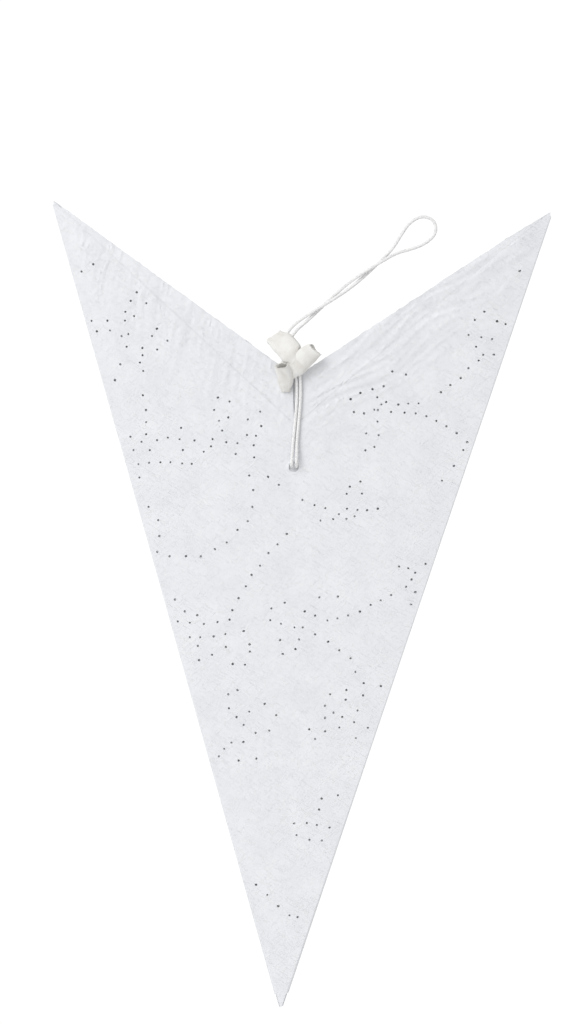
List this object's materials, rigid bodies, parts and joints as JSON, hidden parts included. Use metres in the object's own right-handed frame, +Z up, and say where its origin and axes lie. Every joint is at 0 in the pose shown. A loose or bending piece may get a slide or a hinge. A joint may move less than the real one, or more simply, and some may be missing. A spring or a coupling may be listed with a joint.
{
  "type": "folding paper star",
  "caption": "Folding paper star of hollow pleated points with perforated panels, shown folded flat, with glued valley seams, a tie hole and a knotted hanging cord.",
  "frame": {"origin": "middle of the tie hole, on the outer face of the first panel", "axes": "+Z up the centre crease, from the tips towards the hub line; +Y through the folded stack, away from the first panel; +X across the panels, from the front hub corners to the back ones"},
  "size_m": [0.1752, 0.0116, 0.29],
  "materials": {
    "star_paper": "matt handmade cotton paper, cool off-white, with long fibres",
    "cotton_cord": "matt thin twisted cotton",
    "cotton_tape": "matt woven cotton tape, warm white"
  },
  "bodies": {
    "left_front_1": {"point_1_left_front": "star_paper"},
    "right_front_1": {"point_1_right_front": "star_paper", "glued_flap_1_front": "star_paper"},
    "left_back_1": {"point_1_left_back": "star_paper"},
    "right_back_1": {"point_1_right_back": "star_paper", "glued_flap_1_back": "star_paper"},
    "left_front_2": {"point_2_left_front": "star_paper"},
    "right_front_2": {"point_2_right_front": "star_paper", "glued_flap_2_front": "star_paper"},
    "left_back_2": {"point_2_left_back": "star_paper"},
    "right_back_2": {"point_2_right_back": "star_paper", "glued_flap_2_back": "star_paper"},
    "left_front_3": {"point_3_left_front": "star_paper"},
    "right_front_3": {"point_3_right_front": "star_paper", "glued_flap_3_front": "star_paper"},
    "left_back_3": {"point_3_left_back": "star_paper"},
    "right_back_3": {"point_3_right_back": "star_paper", "glued_flap_3_back": "star_paper"},
    "left_front_4": {"point_4_left_front": "star_paper"},
    "right_front_4": {"point_4_right_front": "star_paper", "glued_flap_4_front": "star_paper"},
    "left_back_4": {"point_4_left_back": "star_paper"},
    "right_back_4": {"point_4_right_back": "star_paper", "glued_flap_4_back": "star_paper"},
    "left_front_5": {"point_5_left_front": "star_paper"},
    "right_front_5": {"point_5_right_front": "star_paper", "glued_flap_5_front": "star_paper"},
    "left_back_5": {"point_5_left_back": "star_paper"},
    "right_back_5": {"point_5_right_back": "star_paper", "glued_flap_5_back": "star_paper"},
    "left_front_6": {"point_6_left_front": "star_paper"},
    "right_front_6": {"point_6_right_front": "star_paper", "glued_flap_6_front": "star_paper"},
    "left_back_6": {"point_6_left_back": "star_paper"},
    "right_back_6": {"point_6_right_back": "star_paper", "glued_flap_6_back": "star_paper"},
    "left_front_7": {"point_7_left_front": "star_paper"},
    "right_front_7": {"point_7_right_front": "star_paper"},
    "left_back_7": {"point_7_left_back": "star_paper"},
    "right_back_7": {"point_7_right_back": "star_paper"},
    "closing_flap_front": {"closing_flap_front": "star_paper"},
    "closing_flap_back": {"closing_flap_back": "star_paper"},
    "hanging_loop": {"hanging_cord": "cotton_cord", "tape_knot": "cotton_tape"}
  },
  "joints": [
    {"name": "star_opening", "type": "hinge", "parent": "left_front_4", "child": "right_front_4", "pos_m": [0, 0.0034, -0.1981], "axis": [-0.2949, 0, 0.9555], "range_deg": [0, 88.52]},
    {"name": "valley_fold_4", "type": "hinge", "parent": "right_front_4", "child": "left_front_5", "pos_m": [0, 0.0039, 0.0153], "axis": [0.7488, 0, -0.6628], "range_deg": [0, 109.11]},
    {"name": "ridge_fold_5", "type": "hinge", "parent": "left_front_5", "child": "right_front_5", "pos_m": [0, 0.0044, -0.1981], "axis": [-0.2949, 0, 0.9555], "range_deg": [0, 88.52]},
    {"name": "valley_fold_5", "type": "hinge", "parent": "right_front_5", "child": "left_front_6", "pos_m": [0, 0.0049, 0.0153], "axis": [0.7488, 0, -0.6628], "range_deg": [0, 109.11]},
    {"name": "ridge_fold_6", "type": "hinge", "parent": "left_front_6", "child": "right_front_6", "pos_m": [0, 0.0054, -0.1981], "axis": [-0.2949, 0, 0.9555], "range_deg": [0, 88.52]},
    {"name": "valley_fold_6", "type": "hinge", "parent": "right_front_6", "child": "left_front_7", "pos_m": [0, 0.0059, 0.0153], "axis": [0.7488, 0, -0.6628], "range_deg": [0, 109.11]},
    {"name": "ridge_fold_7", "type": "hinge", "parent": "left_front_7", "child": "right_front_7", "pos_m": [0, 0.0064, -0.1981], "axis": [-0.2949, 0, 0.9555], "range_deg": [0, 88.52]},
    {"name": "valley_fold_3", "type": "hinge", "parent": "left_front_4", "child": "right_front_3", "pos_m": [0, 0.0029, 0.0153], "axis": [-0.7488, 0, 0.6628], "range_deg": [0, 109.11]},
    {"name": "ridge_fold_3", "type": "hinge", "parent": "right_front_3", "child": "left_front_3", "pos_m": [0, 0.0024, -0.1981], "axis": [0.2949, 0, -0.9555], "range_deg": [0, 88.52]},
    {"name": "valley_fold_2", "type": "hinge", "parent": "left_front_3", "child": "right_front_2", "pos_m": [0, 0.0019, 0.0153], "axis": [-0.7488, 0, 0.6628], "range_deg": [0, 109.11]},
    {"name": "ridge_fold_2", "type": "hinge", "parent": "right_front_2", "child": "left_front_2", "pos_m": [0, 0.0014, -0.1981], "axis": [0.2949, 0, -0.9555], "range_deg": [0, 88.52]},
    {"name": "valley_fold_1", "type": "hinge", "parent": "left_front_2", "child": "right_front_1", "pos_m": [0, 0.0009, 0.0153], "axis": [-0.7488, 0, 0.6628], "range_deg": [0, 109.11]},
    {"name": "ridge_fold_1", "type": "hinge", "parent": "right_front_1", "child": "left_front_1", "pos_m": [0, 0.0004, -0.1981], "axis": [0.2949, 0, -0.9555], "range_deg": [0, 88.52]},
    {"name": "left_crease_1", "type": "hinge", "parent": "left_front_1", "child": "left_back_1", "pos_m": [0, 0.0003, -0.1981], "axis": [0, 0, 1], "range_deg": [0, 84.9]},
    {"name": "right_crease_1", "type": "hinge", "parent": "right_front_1", "child": "right_back_1", "pos_m": [0, 0.0005, -0.1981], "axis": [0, 0, -1], "range_deg": [0, 84.9]},
    {"name": "left_crease_2", "type": "hinge", "parent": "left_front_2", "child": "left_back_2", "pos_m": [0, 0.0013, -0.1981], "axis": [0, 0, 1], "range_deg": [0, 84.9]},
    {"name": "right_crease_2", "type": "hinge", "parent": "right_front_2", "child": "right_back_2", "pos_m": [0, 0.0015, -0.1981], "axis": [0, 0, -1], "range_deg": [0, 84.9]},
    {"name": "left_crease_3", "type": "hinge", "parent": "left_front_3", "child": "left_back_3", "pos_m": [0, 0.0023, -0.1981], "axis": [0, 0, 1], "range_deg": [0, 84.9]},
    {"name": "right_crease_3", "type": "hinge", "parent": "right_front_3", "child": "right_back_3", "pos_m": [0, 0.0025, -0.1981], "axis": [0, 0, -1], "range_deg": [0, 84.9]},
    {"name": "left_crease_4", "type": "hinge", "parent": "left_front_4", "child": "left_back_4", "pos_m": [0, 0.0033, -0.1981], "axis": [0, 0, 1], "range_deg": [0, 84.9]},
    {"name": "right_crease_4", "type": "hinge", "parent": "right_front_4", "child": "right_back_4", "pos_m": [0, 0.0035, -0.1981], "axis": [0, 0, -1], "range_deg": [0, 84.9]},
    {"name": "left_crease_5", "type": "hinge", "parent": "left_front_5", "child": "left_back_5", "pos_m": [0, 0.0043, -0.1981], "axis": [0, 0, 1], "range_deg": [0, 84.9]},
    {"name": "right_crease_5", "type": "hinge", "parent": "right_front_5", "child": "right_back_5", "pos_m": [0, 0.0045, -0.1981], "axis": [0, 0, -1], "range_deg": [0, 84.9]},
    {"name": "left_crease_6", "type": "hinge", "parent": "left_front_6", "child": "left_back_6", "pos_m": [0, 0.0053, -0.1981], "axis": [0, 0, 1], "range_deg": [0, 84.9]},
    {"name": "right_crease_6", "type": "hinge", "parent": "right_front_6", "child": "right_back_6", "pos_m": [0, 0.0055, -0.1981], "axis": [0, 0, -1], "range_deg": [0, 84.9]},
    {"name": "left_crease_7", "type": "hinge", "parent": "left_front_7", "child": "left_back_7", "pos_m": [0, 0.0063, -0.1981], "axis": [0, 0, 1], "range_deg": [0, 84.9]},
    {"name": "right_crease_7", "type": "hinge", "parent": "right_front_7", "child": "right_back_7", "pos_m": [0, 0.0065, -0.1981], "axis": [0, 0, -1], "range_deg": [0, 84.9]},
    {"name": "closing_flap_front_fold", "type": "hinge", "parent": "left_front_1", "child": "closing_flap_front", "pos_m": [0, -0.0001, 0.0153], "axis": [-0.7488, 0, 0.6628], "range_deg": [0, 109.11]},
    {"name": "closing_flap_back_fold", "type": "hinge", "parent": "left_back_1", "child": "closing_flap_back", "pos_m": [0, -0.0001, 0.0153], "axis": [-0.7488, 0, -0.6628], "range_deg": [0, 134]},
    {"name": "loop_swing", "type": "hinge", "parent": "left_front_1", "child": "hanging_loop", "pos_m": [0, -0.0012, 0], "axis": [0.5721, 0.8057, -0.1538], "range_deg": [0, 128.8]}
  ],
  "couplings": [
    {"joint": "valley_fold_4", "follows": "star_opening", "ratio": 1.2326},
    {"joint": "ridge_fold_5", "follows": "star_opening", "ratio": 1},
    {"joint": "valley_fold_5", "follows": "star_opening", "ratio": 1.2326},
    {"joint": "ridge_fold_6", "follows": "star_opening", "ratio": 1},
    {"joint": "valley_fold_6", "follows": "star_opening", "ratio": 1.2326},
    {"joint": "ridge_fold_7", "follows": "star_opening", "ratio": 1},
    {"joint": "valley_fold_3", "follows": "star_opening", "ratio": 1.2326},
    {"joint": "ridge_fold_3", "follows": "star_opening", "ratio": 1},
    {"joint": "valley_fold_2", "follows": "star_opening", "ratio": 1.2326},
    {"joint": "ridge_fold_2", "follows": "star_opening", "ratio": 1},
    {"joint": "valley_fold_1", "follows": "star_opening", "ratio": 1.2326},
    {"joint": "ridge_fold_1", "follows": "star_opening", "ratio": 1},
    {"joint": "left_crease_1", "follows": "star_opening", "ratio": 0.95911},
    {"joint": "right_crease_1", "follows": "star_opening", "ratio": 0.95911},
    {"joint": "left_crease_2", "follows": "star_opening", "ratio": 0.95911},
    {"joint": "right_crease_2", "follows": "star_opening", "ratio": 0.95911},
    {"joint": "left_crease_3", "follows": "star_opening", "ratio": 0.95911},
    {"joint": "right_crease_3", "follows": "star_opening", "ratio": 0.95911},
    {"joint": "left_crease_4", "follows": "star_opening", "ratio": 0.95911},
    {"joint": "right_crease_4", "follows": "star_opening", "ratio": 0.95911},
    {"joint": "left_crease_5", "follows": "star_opening", "ratio": 0.95911},
    {"joint": "right_crease_5", "follows": "star_opening", "ratio": 0.95911},
    {"joint": "left_crease_6", "follows": "star_opening", "ratio": 0.95911},
    {"joint": "right_crease_6", "follows": "star_opening", "ratio": 0.95911},
    {"joint": "left_crease_7", "follows": "star_opening", "ratio": 0.95911},
    {"joint": "right_crease_7", "follows": "star_opening", "ratio": 0.95911},
    {"joint": "closing_flap_front_fold", "follows": "star_opening", "ratio": 1.2326},
    {"joint": "closing_flap_back_fold", "follows": "star_opening", "ratio": 1.5138},
    {"joint": "loop_swing", "follows": "star_opening", "ratio": 1.455}
  ]
}
